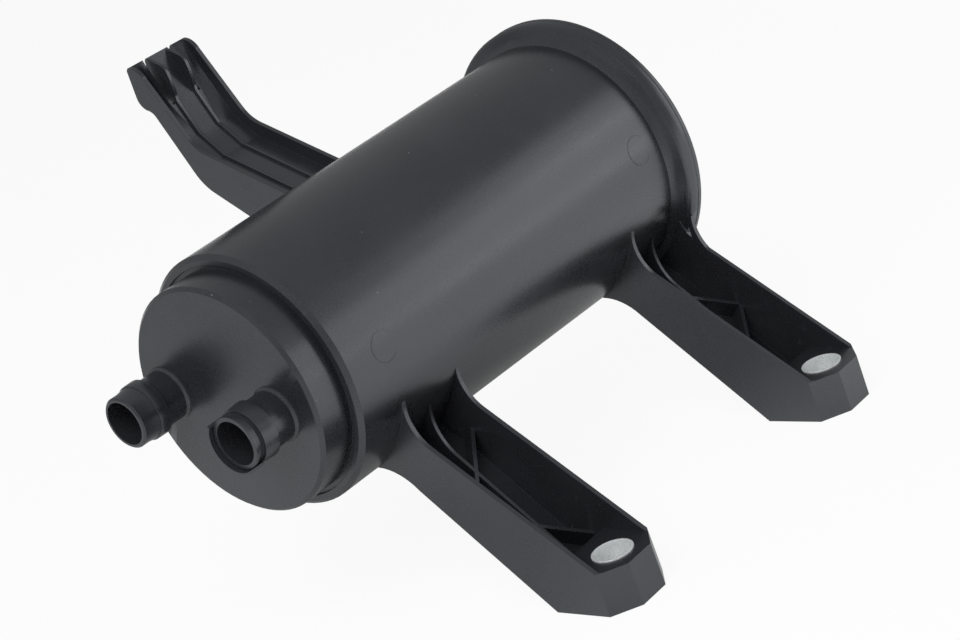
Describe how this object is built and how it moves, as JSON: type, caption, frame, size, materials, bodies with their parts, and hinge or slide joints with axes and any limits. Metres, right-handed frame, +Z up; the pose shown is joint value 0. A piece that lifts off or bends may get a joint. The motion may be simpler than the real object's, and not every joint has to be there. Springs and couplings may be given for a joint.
{
  "type": "fuel vapour filter",
  "caption": "Black moulded charcoal canister lying on its side, with hose stubs on one end, a welded cover on the other, trough-shaped bolt legs and a springy hook arm.",
  "frame": {"origin": "midway between the bolt holes of the feet, on the plane of the feet's undersides", "axes": "+Z up along the bolts, +X along the canister from the hose stubs to the cover, +Y from the bolt feet towards the hook arm"},
  "size_m": [0.2112, 0.2123, 0.1774],
  "materials": {
    "housing_black": "satin moulded glass-filled nylon",
    "sleeve_zinc": "zinc plated",
    "grid_black": "moulded",
    "fleece_white": "felted",
    "charcoal": "loose grains, dull",
    "spring_steel": "drawn wire"
  },
  "bodies": {
    "root": {"canister_body": "housing_black", "end_cover": "housing_black", "sleeve_front": "sleeve_zinc", "sleeve_rear": "sleeve_zinc", "port_grid_left": "grid_black", "port_grid_right": "grid_black", "port_fleece_left": "fleece_white", "port_fleece_right": "fleece_white", "carbon_left": "charcoal", "carbon_right": "charcoal", "cover_fleece_left": "fleece_white", "cover_fleece_right": "fleece_white", "pressure_plate_left": "grid_black", "pressure_plate_right": "grid_black", "spring_left": "spring_steel", "spring_right": "spring_steel"}
  },
  "joints": []
}
